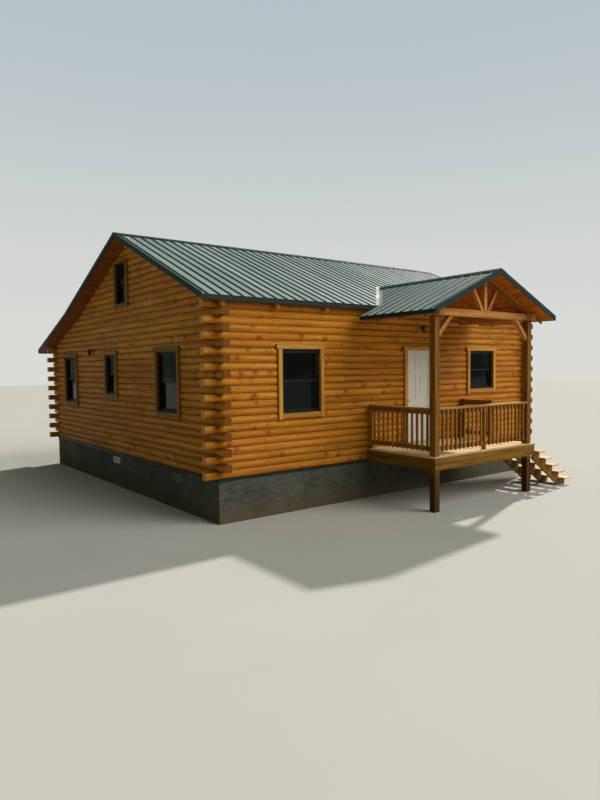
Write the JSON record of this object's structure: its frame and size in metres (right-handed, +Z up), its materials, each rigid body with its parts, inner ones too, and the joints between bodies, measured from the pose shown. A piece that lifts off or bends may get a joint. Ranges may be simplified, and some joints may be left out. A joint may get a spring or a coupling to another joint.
{
  "type": "log cabin",
  "caption": "One-storey log cabin with a loft, butt-and-pass log corners, ribbed metal gable roof with a rear lean-to slope, gabled entry porch, railings, steps and a hinged entry door.",
  "frame": {"origin": "middle of the footprint, at the lowest ground level", "axes": "+X to the right along the front wall seen from outside, +Y from the porch to the rear, +Z up"},
  "size_m": [10.29, 12.397, 5.8538],
  "materials": {
    "logs": "stained pine, satin",
    "inner_wood": "bare boards",
    "foundation": "rough parged masonry",
    "green_metal": "satin",
    "vent_metal": "matte",
    "window_frame": "satin",
    "window_glass": "clear",
    "trim_wood": "oiled",
    "door_paint": "satin",
    "knob_metal": "aged",
    "soffit_wood": "stained",
    "roof_sheet": "satin",
    "beam_wood": "rough sawn",
    "deck_wood": "weathered",
    "rail_wood": "treated",
    "lamp_metal": "matte"
  },
  "bodies": {
    "cabin": {"door_frame": "door_paint", "eave_trim": "green_metal", "floor": "inner_wood", "foundation": "foundation", "foundation_band": "green_metal", "foundation_vents": "vent_metal", "front_railing": "rail_wood", "front_roof_sheet": "roof_sheet", "front_wall_left": "logs", "front_wall_right": "logs", "front_wall_top": "logs", "gable_light": "lamp_metal", "hinge_pins": "knob_metal", "knee_braces": "beam_wood", "left_gable_wall": "logs", "left_railing": "rail_wood", "loft_floor": "inner_wood", "lower_rear_roof_sheet": "roof_sheet", "main_roof_deck": "soffit_wood", "porch_beams": "beam_wood", "porch_deck_boards": "deck_wood", "porch_eave_trim": "green_metal", "porch_frame": "deck_wood", "porch_light": "lamp_metal", "porch_posts": "beam_wood", "porch_rafters": "beam_wood", "porch_rake_trim": "green_metal", "porch_roof_deck": "soffit_wood", "porch_roof_sheets": "roof_sheet", "porch_truss": "beam_wood", "rafter_tails": "beam_wood", "rake_trim": "green_metal", "rear_roof_sheet": "roof_sheet", "rear_wall": "logs", "ridge_caps": "green_metal", "right_gable_wall": "logs", "right_railing": "rail_wood", "stair_stringers": "deck_wood", "stair_treads": "deck_wood", "valley_flashing": "roof_sheet", "window_and_door_trim": "trim_wood", "window_frames": "window_frame", "window_glass": "window_glass"},
    "door": {"entry_door": "door_paint", "door_hardware": "knob_metal"}
  },
  "joints": [
    {"name": "entry_door_hinge", "type": "hinge", "parent": "cabin", "child": "door", "pos_m": [1.052, -3.8523, 1.11], "axis": [0, 0, -1], "range_deg": [0, 95]}
  ]
}
